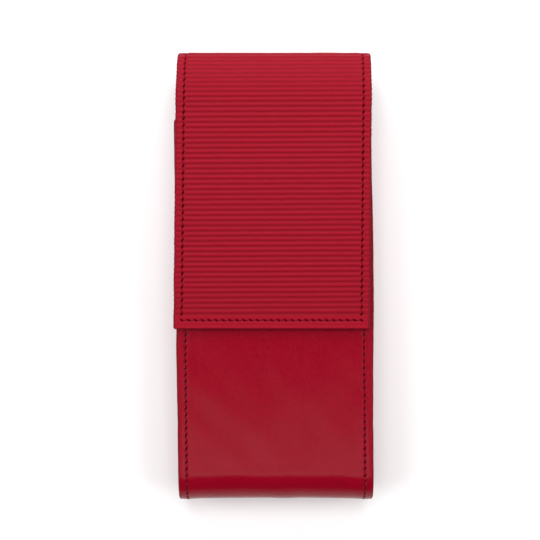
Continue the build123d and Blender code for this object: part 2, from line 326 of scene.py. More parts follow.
def ring_faces(size, keep, fine, kinds, painted, covered):
    """Faces between neighbouring rings and their finishes: 0 outer face, 1 painted edge, 2 inner face.

    A ring that isn't fine uses only its kept places. Outer faces between painted rings and inner faces
    beside covered rings take the edge's paint.
    """
    every, coarse = np.arange(size), np.flatnonzero(keep)
    faces, finish = [], []
    for i in range(len(fine) - 1):
        common = every if fine[i] and fine[i + 1] else coarse
        after = np.roll(common, -1)
        low, high = i * size, (i + 1) * size
        if fine[i] == fine[i + 1]:
            faces += list(np.stack([low + common, high + common, high + after, low + after], 1))
        else:
            for u, v in zip(common, after):
                between = np.arange(u + 1, v)
                ahead = high + between if fine[i + 1] else []
                behind = low + between[::-1] if fine[i] else []
                faces.append([low + u, high + u, *ahead, high + v, low + v, *behind])
        here = kinds[common]
        here = np.where((here == 0) & painted[i] & painted[i + 1], 1, here)
        finish.append(np.where((here == 2) & (covered[i] | covered[i + 1]), 1, here))
    faces.append(every if fine[0] else coarse)
    faces.append(((len(fine) - 1) * size + (every if fine[-1] else coarse))[::-1])
    finish.append([1, 1])
    return faces, np.concatenate(finish)


def sheet(
    name,
    path,
    along,
    across,
    face,
    width,
    thickness,
    stack,
    finishes,
    domed=(False, False),
    corner=1.0,
    lip=LIP,
    end_lip=LIP,
    edge_round=EDGE_ROUND,
    cross_zones=(),
    drift=None,
    inner_face=None,
    inner_columns=7,
    marks=None,
):
    """A closed sheet along a path.

    face(s, x) is the outer face's height, width(s) half the sheet's width, thickness(s) its own thickness
    and stack(s) the depth that its painted edge covers. A domed end is rounded like the edges. cross_zones
    are the (low, high) spans of s where the wide intervals of across are divided. marks are functions of
    (s, x) for the outer face's shading.
    """
    # A domed end gets its own close stations, and a step where its lip starts.
    extra = []
    bends = 1 - np.cos(np.radians([15, 30, 45, 60, 75, 90]))
    for round_end, base, way in ((domed[0], along[0], 1), (domed[1], along[-1], -1)):
        if round_end:
            steps = np.concatenate([edge_round * bends, corner * bends, [end_lip, end_lip + TINY]])
            extra.append(base + way * steps)
    first, last = along[0], along[-1]
    along = np.unique(np.round(np.concatenate([along, *extra]), 5))
    gap = np.full(len(along), 1e3)
    if domed[0]:
        gap = np.minimum(gap, along - first)
    if domed[1]:
        gap = np.minimum(gap, last - along)
    drop = edge_round * (1 - np.sqrt(1 - (1 - np.clip(gap / edge_round, 0, 1)) ** 2))
    half = width(along) - corner * (1 - np.sqrt(1 - (1 - np.clip(gap / corner, 0, 1)) ** 2))
    depth = stack(along)
    covered = gap < end_lip + TINY / 2

    places, kept = refined(across) if cross_zones else (across, np.ones(len(across), bool))
    nominal = across[-1]
    shift = np.sign(places) * np.clip((np.abs(places) - nominal) / SIDE_BAND + 1, 0, 1)
    outer_x = places + shift * (half - edge_round - nominal)[:, None]
    outer_depth = drop[:, None] - face(along[:, None], outer_x)

    turn = np.radians([18, 36, 54, 72, 90])
    side_top = np.minimum(edge_round, (depth - drop) / 2)
    low_round = np.minimum(FOOT_ROUND, (depth - drop) / 3)
    rim_x = half[:, None] - edge_round * (1 - np.sin(turn))
    foot = depth - 0.5 * drop
    foot_x = half[:, None] - low_round[:, None] * (1 - np.cos(turn))
    foot_depth = (foot - low_round)[:, None] + low_round[:, None] * np.sin(turn)
    inner = np.minimum(np.where(covered, foot - TINY, thickness(along)), foot - TINY)
    lip_x = (half - lip)[:, None]
    inner_x = lip_x * np.linspace(1, -1, inner_columns)
    inner_depth = np.repeat(inner[:, None], inner_columns, 1)
    if inner_face is not None:
        inner_depth = inner_depth + inner_face(along[:, None], inner_x) * (gap > 2 * end_lip)[:, None]

    def side(sign, border):
        """The points of one edge, from the outer face's border to the lip."""
        rim_depth = outer_depth[:, border][:, None] + side_top[:, None] * (1 - np.cos(turn))
        x = np.concatenate([rim_x, foot_x, lip_x], 1) * sign
        d = np.concatenate([rim_depth, np.maximum(foot_depth, rim_depth[:, -1:]), foot[:, None]], 1)
        return (x, d) if sign > 0 else (x[:, ::-1], d[:, ::-1])

    right, left = side(1, -1), side(-1, 0)
    ring_x = np.concatenate([outer_x, right[0], inner_x, left[0]], 1)
    ring_depth = np.concatenate([outer_depth, right[1], inner_depth, left[1]], 1)
    count, size = ring_x.shape
    if drift is not None:
        ring_x = ring_x + drift(along)[:, None]
    points = path.place(along[:, None], ring_x, -ring_depth)

    n_out, n_side = len(places), right[0].shape[1]
    kinds = np.repeat([0, 1, 2, 1], [n_out - 1, n_side + 1, inner_columns, n_side])
    keep = np.concatenate([kept, np.ones(size - n_out, bool)])
    fine = np.full(count, not cross_zones)
    for low, high in cross_zones:
        fine |= (along >= low) & (along <= high)
    faces, finish_of = ring_faces(size, keep, fine, kinds, gap < edge_round * 0.9, covered)
    used = np.unique(np.concatenate([np.asarray(loop) for loop in faces]))
    renumber = np.zeros(count * size, int)
    renumber[used] = np.arange(len(used))
    faces = [renumber[np.asarray(loop)] for loop in faces]
    values = {}
    for mark, function in (marks or {}).items():
        full = np.zeros((count, size))
        full[:, :n_out] = function(along[:, None], outer_x)
        values[mark] = full.ravel()[used]
    return put(name, points[used], faces, finishes, finish_of, values)


def thickened(name, shown, hidden, faces, finish):
    """A closed piece from two layers of points with the same faces, joined round their border."""
    faces = [np.asarray(face) for face in faces]
    edges = dict.fromkeys((a, b) for face in faces for a, b in zip(face, np.roll(face, -1)))
    border = [(a, b) for a, b in edges if (b, a) not in edges]
    size = len(shown)
    both = faces + [face[::-1] + size for face in faces]
    both += [np.array([b, a, a + size, b + size]) for a, b in border]
    return put(name, np.concatenate([shown, hidden]), both, [finish])


# ---- finishes


class Finish:
    """A procedural material: constants on its shader, and noises in the object's own millimetres."""

    def __init__(self, name, roughness, specular=0.5, sheen=0.0, metallic=0.0):
        self.material = bpy.data.materials.new(name)
        self.material.use_nodes = True
        self.nodes, self.links = self.material.node_tree.nodes, self.material.node_tree.links
        self.shader = self.nodes["Principled BSDF"]
        self.shader.inputs["Roughness"].default_value = roughness
        self.shader.inputs["Specular IOR Level"].default_value = specular
        self.shader.inputs["Sheen Weight"].default_value = sheen
        self.shader.inputs["Metallic"].default_value = metallic
        self.place = self.nodes.new("ShaderNodeTexCoord").outputs["Object"]

    def add(self, kind, settings, values, wires):
        """A node with its settings, its sockets' constant values and the wires into its sockets."""
        node = self.nodes.new(kind)
        for setting, value in settings.items():
            setattr(node, setting, value)
        for socket, value in values.items():
            node.inputs[socket].default_value = value
        for socket, wire in wires.items():
            self.links.new(wire, node.inputs[socket])
        return node

    def feed(self, socket, wire):
        """Joins a wire to one of the shader's sockets."""
        self.links.new(wire, self.shader.inputs[socket])

    def scaled(self, scale):
        """The object's coordinates, with so many noise cells to the millimetre along each axis."""
        values = {"Scale": tuple(share / MM for share in scale)}
        return self.add("ShaderNodeMapping", {}, values, {"Vector": self.place}).outputs["Vector"]

    def noise(self, scale, detail):
        """An even noise, 0 to 1."""
        values = {"Scale": 1.0, "Detail": detail, "Roughness": 0.6}
        wires = {"Vector": self.scaled(scale)}
        return self.add("ShaderNodeTexNoise", {}, values, wires).outputs["Fac"]

    def cells(self, scale):
        """Distance from the middle of the nearest of many random cells."""
        wires = {"Vector": self.scaled(scale)}
        return self.add("ShaderNodeTexVoronoi", {"feature": "F1"}, {"Scale": 1.0}, wires).outputs["Distance"]

    def tones(self, value, colour, low_share, high_share, low=0.3, high=0.7):
        """Darker and lighter tones of a colour, following a noise."""
        node = self.add("ShaderNodeValToRGB", {}, {}, {"Fac": value})
        for element, position, share in zip(node.color_ramp.elements, (low, high), (low_share, high_share)):
            element.position = position
            element.color = (*shade(colour, share), 1)
        return node.outputs["Color"]

    def mix(self, factor, a, b):
        """Two colours mixed. The factor is a number or a wire, and b may be a plain colour."""
        values, wires = {}, {"A": a}
        if isinstance(factor, float):
            values["Factor"] = factor
        else:
            wires["Factor"] = factor
        if isinstance(b, tuple):
            values["B"] = (*b, 1)
        else:
            wires["B"] = b
        return self.add("ShaderNodeMix", {"data_type": "RGBA"}, values, wires).outputs["Result"]

    def mark(self, name):
        """One of the mesh's own marks."""
        return self.add("ShaderNodeAttribute", {"attribute_name": name}, {}, {}).outputs["Fac"]

    def bump(self, height, distance, strength, under=None):
        """Relief from a noise, its distance in millimetres, on top of another relief."""
        wires = {"Height": height} if under is None else {"Height": height, "Normal": under}
        values = {"Distance": distance * MM, "Strength": strength}
        return self.add("ShaderNodeBump", {}, values, wires).outputs["Normal"]


def shade(colour, share):
    """A colour made darker or lighter."""
    return tuple(channel * share for channel in colour)


def leather_finish(
    name, colour, roughness, specular, streaks, grain, specks=3.4, streak_depth=0.0, valleys=0.0
):
    """Dyed leather: mottled and streaked, with a fine grain. Darker in its valleys, partly for the darker
    dye there and partly as painted shade, and near black in its stitch holes as painted shade.
    """
    f = Finish(name, roughness, specular)
    streak = f.noise((0.25, 1.7, 1.7), 3)
    fine = f.noise((specks, specks, specks), 2)
    mottled = f.tones(f.noise((0.22, 0.22, 0.22), 4), colour, 0.93, 1.07)
    streaked = f.mix(0.5, mottled, f.tones(streak, colour, 1 - streaks, 1 + streaks))
    grained = f.mix(0.4, streaked, f.tones(fine, colour, 1 - grain, 1 + grain))
    # Darker in the valleys: partly the darker dye, partly painted shade between the ribs.
    dyed_and_valley_shaded = f.mix(f.mark("valley"), grained, shade(colour, 1 - valleys))
    # The stitch holes are painted near black: painted shade inside them.
    hole = f.mark("hole")
    f.feed("Base Color", f.mix(hole, dyed_and_valley_shaded, shade(colour, 0.06)))

    # The holes are rougher than the face, which varies a little with its grain.
    values = {"From Min": 0.3, "From Max": 0.7, "To Min": roughness - 0.05, "To Max": roughness + 0.06}
    uneven = f.add("ShaderNodeMapRange", {}, values, {"Value": fine}).outputs["Result"]
    rough = f.add("ShaderNodeMath", {"operation": "MULTIPLY_ADD"}, {1: 0.6}, {0: hole, 2: uneven})
    f.feed("Roughness", rough.outputs["Value"])

    relief = f.bump(f.cells((2.6, 2.6, 2.6)), 0.03, 0.35)
    if streak_depth:
        relief = f.bump(streak, streak_depth, 0.8, relief)
    f.feed("Normal", f.bump(fine, 0.03, 0.5, relief))
    return f.material


def paint_finish(name, colour, roughness):
    """Several coats of edge paint, sanded between: slightly uneven."""
    f = Finish(name, roughness, specular=0.10)
    f.feed("Base Color", f.tones(f.noise((0.5, 0.5, 2.4), 3), colour, 0.75, 1.2))
    f.feed("Normal", f.bump(f.noise((1.1, 1.1, 1.1), 2), 0.06, 0.5))
    return f.material


def suede_finish(name, colour, nap=1.0):
    """Brushed cloth or suede: a fine nap with soft lighter and darker patches."""
    f = Finish(name, 0.9, specular=0.1, sheen=0.10)
    hairs = f.noise((5.0, 3.2, 5.0), 3)
    patches = f.tones(f.noise((0.12, 0.2, 0.2), 3), colour, 0.78, 1.15, 0.35, 0.65)
    f.feed("Base Color", f.mix(0.5, patches, f.tones(hairs, colour, 0.6, 1.4)))
    f.feed("Normal", f.bump(hairs, 0.06 * nap, 0.6))
    return f.material


def fibre_finish(name, colour, scale, detail, shares, relief, roughness, **constants):
    """A material whose colour and relief follow one noise: thread, board or brushed metal."""
    f = Finish(name, roughness, **constants)
    fibres = f.noise(scale, detail)
    f.feed("Base Color", f.tones(fibres, colour, *shares))
    f.feed("Normal", f.bump(fibres, *relief))
    return f.material


RIBBED_RED = (0.281, 0.0038, 0.0152)
SMOOTH_RED = (0.238, 0.0004, 0.0100)
EDGE_RED = (0.170, 0.0008, 0.008)
FLESH_RED = (0.16, 0.022, 0.022)
LINING_RED = (0.115, 0.010, 0.014)
THREAD_RED = (0.150, 0.001, 0.010)
BOARD_GREY = (0.27, 0.25, 0.22)
NICKEL, STEEL = (0.62, 0.60, 0.57), (0.48, 0.49, 0.50)

# valleys: how much darker the valleys are made, partly dye and partly painted shade.
ribbed_red = leather_finish(
    "ribbed_red_leather", RIBBED_RED, 0.42, 0.06, 0.13, 0.24, streak_depth=0.07, valleys=0.30
)
smooth_red = leather_finish("smooth_red_leather", SMOOTH_RED, 0.18, 0.14, 0.03, 0.30, specks=1.7)
gusset_red = leather_finish("gusset_red_leather", shade(SMOOTH_RED, 0.9), 0.42, 0.25, 0.02, 0.10)
edge_paint = paint_finish("edge_paint", EDGE_RED, 0.6)
flesh_side = suede_finish("leather_flesh_side", FLESH_RED)
lining_cloth = suede_finish("lining_microsuede", LINING_RED)
divider_suede = suede_finish("divider_suede", shade(LINING_RED, 0.85), 1.5)
thread_red = fibre_finish(
    "waxed_thread", THREAD_RED, (9.0, 9.0, 9.0), 2, (0.7, 1.25), (0.02, 0.5), 0.75, specular=0.05
)
board_grey = fibre_finish("grey_fibreboard", BOARD_GREY, (1.5, 0.7, 1.5), 4, (0.8, 1.15), (0.05, 0.5), 0.85)
metal = ((0.6, 7.0, 7.0), 2, (0.85, 1.05), (0.01, 0.3))  # fine scratches
nickel = fibre_finish("nickel_plate", NICKEL, *metal, 0.28, metallic=1.0)
steel = fibre_finish("zinc_plated_steel", STEEL, *metal, 0.38, metallic=1.0)

# ---- seams


class Row:
    """A row of stitches on a sheet. A side row runs along s at one x, a cross row along x at one s."""

    def __init__(self, cross, line, first, last, pitch, slant):
        self.count = round((last - first) / pitch)
        self.cross, self.line, self.first, self.last = cross, line, first, last
        self.pitch = (last - first) / self.count
        self.slant = math.radians(slant)
        self.places = first + self.pitch * np.arange(self.count + 1)
        self.places = self.places + random.uniform(-0.04, 0.04, self.count + 1)

    def fields(self, s, x):
        """How far a place is into the row's groove, one of its holes, and the leather it pulls down."""
        along, off = (x, s - self.line) if self.cross else (s, x - self.line)
        near = np.clip(np.round((along - self.first) / self.pitch), 0, self.count).astype(int)
        step = along - self.places[near]
        u = step * math.cos(self.slant) + off * math.sin(self.slant)
        v = off * math.cos(self.slant) - step * math.sin(self.slant)
        begun = rise(self.first - 1.0, self.first - 0.2, along)
        over = rise(self.last + 0.2, self.last + 1.0, along)
        groove = bell(off, GROOVE_WIDE) * begun * (1 - over)
        hole = np.exp(-(((u / HOLE_LONG) ** 2 + (v / HOLE_WIDE) ** 2) ** 2))
        return groove, hole, bell(step, PULL_LONG) * bell(off, PULL_WIDE)

    def ends(self):
        """Start and end (s, x) of each stitch, from one hole's far end to the next one's near end."""
        reach, aside = STITCH_REACH * math.cos(self.slant), STITCH_REACH * math.sin(self.slant)
        for a, b in zip(self.places[:-1], self.places[1:]):
            pairs = ((a + reach, self.line + aside), (b - reach, self.line - aside))
            yield [pair[::-1] if self.cross else pair for pair in pairs]


seam = half_width - SEAM_INSET
ROW_START, ROW_END = 2.2, 2.3  # from a cross row to a side row's first or last hole


def seam_rows(end, cross_lines):
    """The two side rows down to an end, and the cross rows."""
    rows = [Row(False, x, SEAM_INSET + ROW_START, end, STITCH_PITCH, -HOLE_SLANT) for x in (-seam, seam)]
    return rows + [Row(True, line, -seam, seam, CROSS_PITCH, HOLE_SLANT) for line in cross_lines]


strip_rows = seam_rows(strip_end - CROSS_INSET - ROW_END, (SEAM_INSET, strip_end - CROSS_INSET))
wrap_rows = seam_rows(wrap_slope_start, (SEAM_INSET,))


def seam_height(rows, s, x, with_holes, pulled=1.0):
    """Height of the seams in a face."""
    low = 0.0
    for row in rows:
        groove, hole, pull = row.fields(s, x)
        low = low - pulled * (GROOVE_DEPTH * groove + PULL_DEPTH * pull)
        if with_holes:
            low = low - HOLE_DEPTH * hole
    return low


def holes_of(rows):
    """How far a place (s, x) is into a hole of the rows, as a function: where shade is painted into the
    leather's colour.
    """
    return lambda s, x: np.maximum.reduce([row.fields(s, x)[1] for row in rows])


# ---- faces of the two leathers

pitches = RIB_PITCH + random.uniform(-0.035, 0.035, 160)
valleys = (strip_end - LAST_VALLEY - np.concatenate([[0], np.cumsum(pitches)]))[::-1]
rib_strength = random.uniform(0.86, 1.08, len(valleys) + 2)
rib_waver = Waves(14, (6, 30), (14, 60), 0.014)
rib_uneven = Waves(16, (1.5, 5), (2.5, 14), 0.007)
face_waves = Waves(16, (14, 60), (12, 50), 0.035)
edge_waves = Waves(8, (5, 24), (200, 300), 0.035)


def ribs(s, x):
    """0 in a valley between two ribs and 1 on a crest."""
    place = s - RIB_TILT * x + rib_waver(s, x)
    phase = np.interp(place, valleys, np.arange(len(valleys)))
    turn = 2 * np.pi * phase
    number = np.clip(np.floor(phase).astype(int), 0, len(valleys) - 1)
    wave = (0.5 - 0.5 * np.cos(turn)) ** 0.7 - 0.03 * np.sin(2 * turn)
    past = place - valleys[-1]
    return np.where(past > 0, 0.55 * rise(0, 1.0, past), wave * rib_strength[number])


def strip_height(s, x, with_holes=True):
    """Face of the ribbed leather: crests at its full thickness, flattened along its seams and edges."""
    out = np.abs(x)
    across = 1 - 0.72 * bell(np.abs(out - seam), 0.75) - 0.45 * rise(seam + 0.4, seam + 1.6, out)
    size = RIB_DEPTH * across * rise(*RIB_ONSET, s)
    height = -size * (1 - ribs(s, x)) - 0.5 * (RIB_DEPTH - size) + rib_uneven(s, x) * across
    height = height + face_waves(s, x) * 0.6
    height = height - RIBBED_SLOPE * rise(seam + BORDER_START, half_width - 0.2, out)
    height = height - CREASE_DEPTH * bell(half_width - CREASE_INSET - out, CREASE_WIDE)
    height = height - CREASE_DEPTH * bell(strip_end - CREASE_INSET - s, CREASE_WIDE)
    return height + seam_height(strip_rows, s, x, with_holes)


def strip_valley_dye_and_shade(s, x):
    """1 at the bottom of a full valley and 0 on crests and flat borders: where the colour is darkened,
    partly for the darker dye and partly as painted shade in the valleys.
    """
    out = np.abs(x)
    across = 1 - 0.5 * bell(out - seam, 0.6) - 0.25 * rise(seam + 0.4, seam + 1.6, out)
    along = rise(*RIB_ONSET, s) * (1 - rise(0.2, 1.2, s - valleys[-1]))
    return across * along * (1 - ribs(s, x))


def wrap_height(s, x, with_holes=True):
    """Face of the smooth leather: gently uneven, and bulging a little at the sides of the bottom end."""
    out = np.abs(x)
    entered = rise(wrap_end_start, wrap_end_start + 9, s)
    round_end = entered * (1 - rise(wrap_back_start - 7, wrap_back_start, s))
    height = face_waves(s, x) * (1 - 0.5 * rise(seam, half_width, out))
    height = height + round_end * (END_BULGE - END_DIP * (1 - (x / half_width) ** 4))
    height = height - SMOOTH_SLOPE * rise(seam + BORDER_START, half_width - 0.2, out)
    height = height + 0.05 * bell(out - (seam - 1.3), 1.0)
    return height + seam_height(wrap_rows, s, x, with_holes, 0.5)


def lean(y):
    """Sideways shift of the pouch along its length: it leans, and bows a little in the middle."""
    return BOW * rise(*BOW_RISE, y) * (1 - rise(*BOW_FALL, y)) - LEAN * (y - LEAN_START)


def strip_drift(s):
    """Sideways shift of the ribbed leather: with the pouch on the back, and the other way on the flap."""
    on_back = lean(np.minimum(s, roll_start) + lap_edge)
    on_flap = FLAP_SHIFT + FLAP_TURN * (s - roll_top) / (strip_end - roll_top)
    return on_back + (on_flap - on_back) * rise(roll_start, roll_top + 4, s)


def wrap_drift(s):
    """Sideways shift of the smooth leather."""
    return lean(wrap.y(s))


def strip_width(s):
    """Half the ribbed leather's width, swelling a little at each rib."""
    return half_width + 0.08 + 0.09 * (ribs(s, 0 * s + half_width) - 0.5) + edge_waves(s, 0 * s)


def wrap_width(s):
    """Half the smooth leather's width: the pouch is a little wider above its bottom end."""
    wider = WIDER * rise(*WIDER_SPAN, wrap.y(s)) * (s < wrap_end_start)
    return half_width + WRAP_SPARE + wider + 0.6 * edge_waves(s, 0 * s + 40)


flap_board_start = strip_end - (cad_box("flap_board")[1][1] - flap_edge)


def board_rise(s):
    """The board's thickness, where the strip has one: on the flap, past the roll."""
    return (FLAP_STACK - LEATHER - FLAP_LINING) * rise(flap_start, flap_board_start, s)


def strip_stack(s):
    """Depth that the ribbed leather's painted edge covers: its own, with a gusset, lining or board."""
    y = s + lap_edge
    back = LEATHER + 0.02 + (GUSSET_LEATHER - 0.02) * rise(lap_end + 0.05, lap_end + 0.65, y)
    back = back - (GUSSET_LEATHER - FLAP_LINING) * rise(gusset_top, gusset_top + 2, y)
    return back + board_rise(s)


def lap_leather(y):
    """Thickness of the smooth leather on the back: full, and skived thin towards its end in the lap."""
    return LEATHER - (LEATHER - SKIVED) * rise(lap_end - SKIVE, lap_end, y)


def wrap_thickness(s):
    """The smooth leather's own thickness."""
    return lap_leather(lap_end - (wrap.length - s))


def wrap_stack(s):
    """Depth that the smooth leather's painted edge covers: its own, with a gusset's flange."""
    return wrap_thickness(s) + GUSSET_LEATHER + 0.55 * (1 - rise(0.9, 1.6, s))


# ---- the ribbed leather, its linings and threads

DIVISIONS = (0, roll_middle, roll_top, roll_shoulder, strip_end)
FOLD_LIMITS = (roll_start, roll_middle, roll_top, roll_shoulder, flap_start)


def folded(piece, number, nodes):
    """A piece that lies across one of the four folds, in place of CAD nodes: its transform is baked into its
    points and the nodes are hidden.
    """
    start, end = strip.point(FOLD_LIMITS[number]), strip.point(FOLD_LIMITS[number + 1])
    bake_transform(piece)
    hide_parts(*nodes)


def on_case(piece, node=None):
    """A piece that rides on the case, in place of a CAD node if one is named."""
    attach(piece, "case")
    if node:
        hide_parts(node)


ribbed_pieces = (
    ("back_leather", ("back_cover", "lower_roll_cover"), 0.3, SEAM_INSET),
    ("roll_leather_lower", ("middle_roll_cover",), 0.2, None),
    ("roll_leather_upper", ("upper_roll_cover",), 0.2, None),
    ("flap_leather", ("flap_cover",), 0.2, strip_end - CROSS_INSET),
)
for number, (name, nodes, step, cross_line) in enumerate(ribbed_pieces):
    zones = [(cross_line - SEAM_ZONE, cross_line + SEAM_ZONE)] if cross_line else []
    piece = sheet(
        name,
        strip,
        stations(DIVISIONS[number], DIVISIONS[number + 1], step, [(*zone, CROSS_STEP) for zone in zones]),
        columns(half_width + STRIP_SPARE - EDGE_ROUND, 0.86),
        strip_height,
        strip_width,
        lambda s: LEATHER + 0 * s,
        strip_stack,
        [ribbed_red, edge_paint, flesh_side],
        domed=(number == 0, number == 3),
        corner=0.9,
        cross_zones=zones,
        drift=strip_drift,
        # The marks darken its colour: painted shade in the stitch holes, and in the valleys partly dye,
        # partly painted shade.
        marks={"hole": holes_of(strip_rows), "valley": strip_valley_dye_and_shade},
    )
    folded(piece, number, nodes)

lining_waves = Waves(14, (6, 40), (10, 50), 0.03)
disc_x = (magnet_low[0] + magnet_high[0]) / 2
disc_s = strip_end - ((magnet_low[1] + magnet_high[1]) / 2 - flap_edge)
disc_radius = (magnet_high[0] - magnet_low[0]) / 2


def lining_top(s):
    """Depth of the strip's lining: under the leather, and under the board in the flap."""
    return LEATHER + TINY + board_rise(s)


def lining_face(s, x):
    """The lining's shown face: nearly flat, with the magnets just showing through."""
    away = np.hypot(s - disc_s, np.abs(x) - disc_x)
    return 0.10 * (1 - rise(disc_radius - 0.5, disc_radius + 0.5, away)) + lining_waves(s, x)


def cloth(name, path, along, reach, half, depth, thickness, drift, inner_face, inner_columns):
    """A glued lining: a thin sheet at a depth under a path, with an uneven shown face."""
    return sheet(
        name,
        path,
        along,
        reach,
        lambda s, x: -depth(s) + 0 * x,
        lambda s: half + 0 * s,
        lambda s: depth(s) + thickness - 0.02,
        lambda s: depth(s) + thickness - TINY,
        [lining_cloth] * 3,
        lip=0.3,
        edge_round=0.25,
        drift=drift,
        inner_face=inner_face,
        inner_columns=inner_columns,
    )


neck_start = cad_box("neck_lining")[0][1] - lap_edge
lining_limits = (neck_start, roll_middle, roll_top, roll_shoulder, strip_end - LIP - 0.05)
lining_pieces = (
    ("neck_lining_cloth", ("neck_lining", "lower_roll_lining")),
    ("roll_lining_cloth_lower", ("middle_roll_lining",)),
    ("roll_lining_cloth_upper", ("upper_roll_lining",)),
    ("flap_lining_cloth", ("flap_lining",)),
)
for number, (name, nodes) in enumerate(lining_pieces):
    along = stations(lining_limits[number], lining_limits[number + 1], LINING_STEP)
    reach = np.linspace(-(half_width - 0.9), half_width - 0.9, 25)
    half = half_width + STRIP_SPARE - LIP - 0.08
    piece = cloth(name, strip, along, reach, half, lining_top, FLAP_LINING, strip_drift, lining_face, 60)
    folded(piece, number, nodes)


def stitches(name, path, rows, height, low, high, drift):
    """Two-ply stitches of some rows between two distances, as closed twisted tubes that dive into their
    holes at both ends."""
    points, faces = [], []
    t = np.linspace(0, 1, 11)
    around = np.linspace(0, 2 * np.pi, 9)[:-1]
    lobes = 1 + 0.20 * np.cos(2 * (around - 7.5 * t[:, None]))
    radius = THREAD_RADIUS * (1 - 0.25 * np.abs(2 * t - 1) ** 6)[:, None] * lobes
    ring = np.arange(len(t) * len(around)).reshape(len(t), len(around))
    turned = np.roll(ring, -1, 1)
    quads = np.stack([ring[:-1], turned[:-1], turned[1:], ring[1:]], -1).reshape(-1, 4)
    for row in rows:
        for ends in row.ends():
            a, b = np.array(ends)
            middle = (a + b) / 2
            if not low <= middle[0] < high:
                continue
            way = (b - a) / np.linalg.norm(b - a)
            side = np.array([-way[1], way[0]])
            spine = a + t[:, None] * (b - a)
            level = height(middle[0] + 0 * t, middle[1] + 0 * t, False)
            lift = level + THREAD_LIFT - THREAD_DIVE * np.abs(2 * t - 1) ** 4
            flat = spine[:, None, :] + (radius * np.cos(around))[..., None] * side
            up = lift[:, None] + radius * np.sin(around)
            s, x = flat[..., 0].ravel(), flat[..., 1].ravel()
            base = len(points) * ring.size
            points.append(path.place(s, x + drift(s), up.ravel()))
            faces += list(base + quads) + [base + ring[0][::-1], base + ring[-1]]
    return put(name, np.concatenate(points), faces, [thread_red], smooth_angle=70)


flap_threads = (
    ("roll_stitches_lower", "lower_roll_thread", roll_start, roll_middle),
    ("roll_stitches_middle", "middle_roll_thread", roll_middle, roll_top),
    ("roll_stitches_upper", "upper_roll_thread", roll_top, roll_shoulder),
    ("flap_stitches", "flap_thread", roll_shoulder, strip_end),
)
for number, (name, node, low, high) in enumerate(flap_threads):
    rows = strip_rows[:2] + (strip_rows[3:] if number == 3 else [])
    piece = stitches(name, strip, rows, strip_height, low, high, strip_drift)
    folded(piece, number, [node])

# ---- the smooth leather and the case's threads

mouth_zone = (SEAM_INSET - SEAM_ZONE, SEAM_INSET + SEAM_ZONE)
front_leather = sheet(
    "front_leather",
    wrap,
    stations(0, wrap.length, 0.24, [(*mouth_zone, CROSS_STEP)]),
    columns(half_width + WRAP_SPARE - EDGE_ROUND, 1.5),
    wrap_height,
    wrap_width,
    wrap_thickness,
    wrap_stack,
    [smooth_red, edge_paint, flesh_side],
    domed=(True, False),
    corner=0.8,
    end_lip=MOUTH_LIP,
    cross_zones=[mouth_zone],
    drift=wrap_drift,
    # The holes' mark paints shade into the leather's colour.
    marks={"hole": holes_of(wrap_rows)},
)
on_case(front_leather, "front_cover")


def case_stitches(name, on_front, row, node=None):
    """A row of stitches through the case, where it shows on the front or on the back."""
    if on_front:
        piece = stitches(name, wrap, [row], wrap_height, 0, wrap.length, wrap_drift)
    else:
        piece = stitches(name, strip, [row], strip_height, 0, roll_start, strip_drift)
    on_case(piece, node)


for number, side in enumerate(("left", "right")):
    case_stitches(f"{side}_seam_stitches", True, wrap_rows[number], f"{side}_seam_thread")
    case_stitches(f"{side}_seam_stitches_back", False, strip_rows[number])
case_stitches("lap_stitches", False, strip_rows[2], "lap_thread")
case_stitches("mouth_stitches", True, wrap_rows[2], "mouth_thread")

# ---- the pouch: linings, gussets, dividers

pouch_front, pouch_back = pouch_high[2], pouch_low[2]
pouch_radius = (pouch_front - pouch_back) / 2
pouch_start = mouth - MOUTH_LIP - 0.05
end_y = bottom + END_RADIUS
TUCK_BEND, TUCK_TURN = 1.3, 55.0  # its end turns in under the neck's lining
pouch_path = Path(
    (pouch_start, pouch_front),
    180,
    [
        (pouch_start - end_y, 0),
        (pouch_radius, 180),
        (gusset_top - 2.2 - end_y, 0),
        (TUCK_BEND, -TUCK_TURN),
        (TUCK_BEND, TUCK_TURN),
        (0.3, 0),
    ],
)
pouch_waves = Waves(14, (8, 40), (8, 40), 0.05)
pouch_cloth = cloth(
    "pouch_lining_cloth",
    pouch_path,
    stations(0, pouch_path.length, 0.9, [(pouch_path.starts[3], pouch_path.length, 0.2)]),
    np.linspace(-(pouch_high[0] - 0.25), pouch_high[0] - 0.25, 21),
    pouch_high[0],
    lambda s: TINY + 0 * s,
    POUCH_LINING - TINY,
    lambda s: lean(pouch_path.y(s)),
    lambda s, x: pouch_waves(s, x) - 0.05,
    50,
)
on_case(pouch_cloth, "pouch_lining")

gusset_wall = gusset_low[0] + GUSSET_LEATHER  # the wall's outer face, from the middle
gusset_waves = Waves(12, (18, 70), (12, 40), 0.10)


def wall_bulge(y, share):
    """How far a gusset's wall is pushed out by what is behind it."""
    middle = np.sin(np.pi * np.clip(share, 0, 1))
    return middle * (0.35 + gusset_waves(y, 20 * share)) * rise(bottom + 3, bottom + 16, y)


def back_line(y):
    """Height of the gusset's outline on the back, over the front leather's lap."""
    over_lap = rise(lap_edge - 6.2, lap_edge, y) * (1 - rise(lap_end, lap_end + 1.0, y))
    return LEATHER + lap_leather(y) * over_lap


